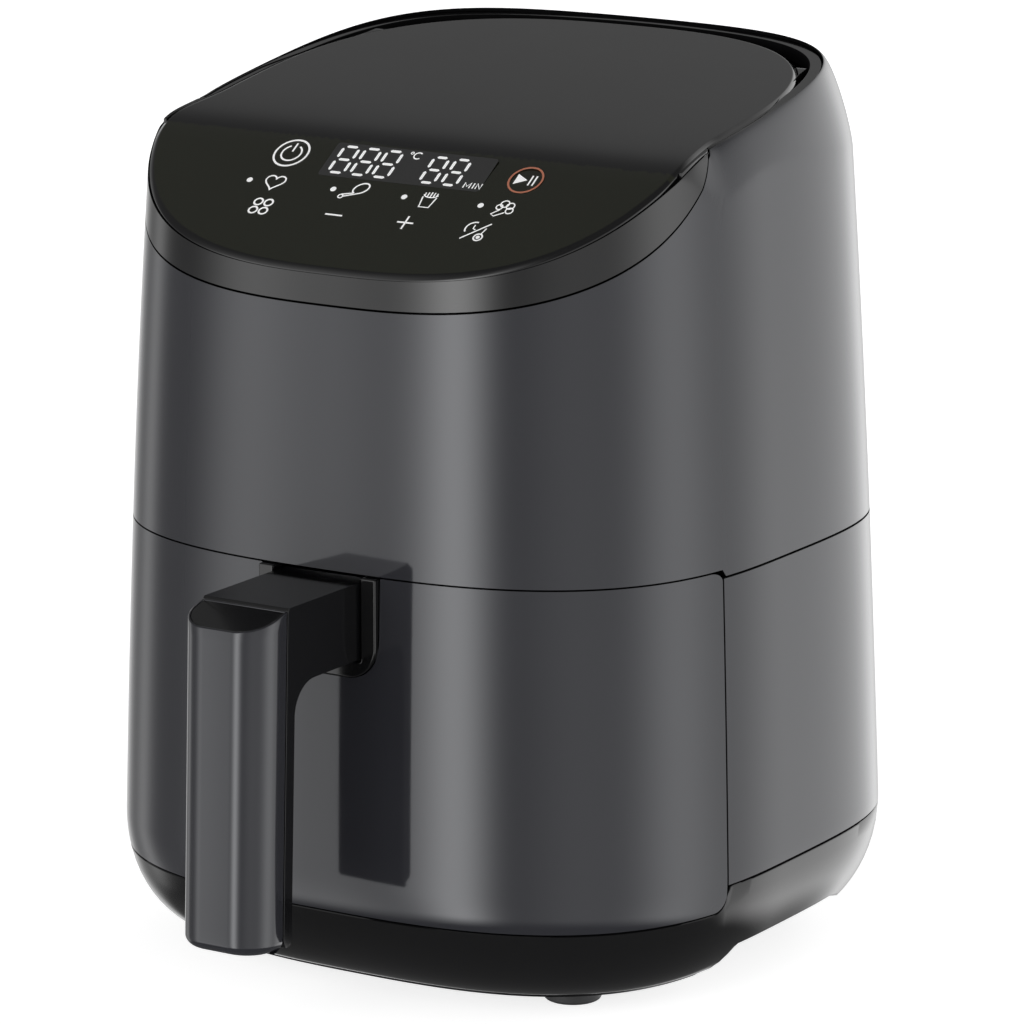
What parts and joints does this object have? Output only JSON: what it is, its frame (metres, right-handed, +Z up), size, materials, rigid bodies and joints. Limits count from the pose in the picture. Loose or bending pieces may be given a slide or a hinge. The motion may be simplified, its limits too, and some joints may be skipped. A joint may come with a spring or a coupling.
{
  "type": "air fryer",
  "caption": "Compact air fryer with a pull-out drawer, D-shaped handle, sloped touch panel and tapered housing.",
  "frame": {"origin": "on the ground under the middle of the whole object's box, handle included", "axes": "+Z up, -Y towards the handle and the drawer's pull, +X to the right of someone facing the drawer from behind the appliance's front, and the object is symmetric across X"},
  "size_m": [0.206, 0.2445, 0.2669],
  "materials": {
    "housing_grey": "satin gloss",
    "gloss_black": "high gloss",
    "base_black": "semi gloss",
    "handle_black": "satin",
    "inner_black": "matte",
    "rubber": "matte",
    "steel": "brushed",
    "coated_steel": "non-stick coating",
    "element": "heat-tinted",
    "board": "solder mask",
    "nylon": "natural",
    "wire": "satin",
    "motor": "zinc plated",
    "print_white": "printed",
    "print_copper": "printed"
  },
  "bodies": {
    "root": {"upper_housing": "housing_grey", "lower_housing": "housing_grey", "base_shell": "base_black", "foot_front_left": "rubber", "foot_front_right": "rubber", "foot_rear_left": "rubber", "foot_rear_right": "rubber", "front_band": "gloss_black", "top_rim": "gloss_black", "intake_grille": "inner_black", "top_cover": "gloss_black", "led_display": "inner_black", "control_board": "board", "touch_springs": "steel", "rear_vent_grille": "inner_black", "cord_gland": "inner_black", "front_frame": "inner_black", "cavity_liner": "steel", "rail_left": "steel", "rail_right": "steel", "heating_chamber": "steel", "heat_shield": "steel", "motor_deck": "steel", "deck_spacers": "steel", "fan_motor": "motor", "motor_screws": "steel", "heating_element": "element", "element_clips": "steel", "element_guard": "steel", "temperature_sensor": "steel", "thermal_fuse": "nylon", "power_board": "board", "board_posts": "nylon", "wire_harness": "wire", "interlock_switch": "inner_black", "base_screws": "steel"},
    "rotor": {"motor_shaft": "steel", "convection_fan": "steel", "cooling_fan": "inner_black", "fan_nut": "steel"},
    "plunger": {"interlock_plunger": "nylon"},
    "drawer": {"drawer_front": "housing_grey", "basket": "coated_steel", "basket_bracket": "steel", "handle_body": "handle_black", "handle_cover": "housing_grey", "handle_cap": "handle_black", "handle_collar": "gloss_black", "handle_screws": "steel"},
    "plate": {"crisper_plate": "coated_steel", "plate_bumpers": "rubber"}
  },
  "joints": [
    {"name": "drawer_slide", "type": "slide", "parent": "root", "child": "drawer", "axis": [0, -1, 0], "range_m": [0, 0.2]},
    {"name": "plate_lift", "type": "slide", "parent": "drawer", "child": "plate", "axis": [0, 0, 1], "range_m": [0, 0.05]},
    {"name": "fan_spin", "type": "hinge", "parent": "root", "child": "rotor", "pos_m": [0, 0.02509, 0.2], "axis": [0, 0, 1], "continuous": true},
    {"name": "plunger_press", "type": "slide", "parent": "root", "child": "plunger", "axis": [0, 1, 0], "range_m": [0, 0.0015], "stiffness_N_per_m": 200, "springref_m": -0.002}
  ]
}
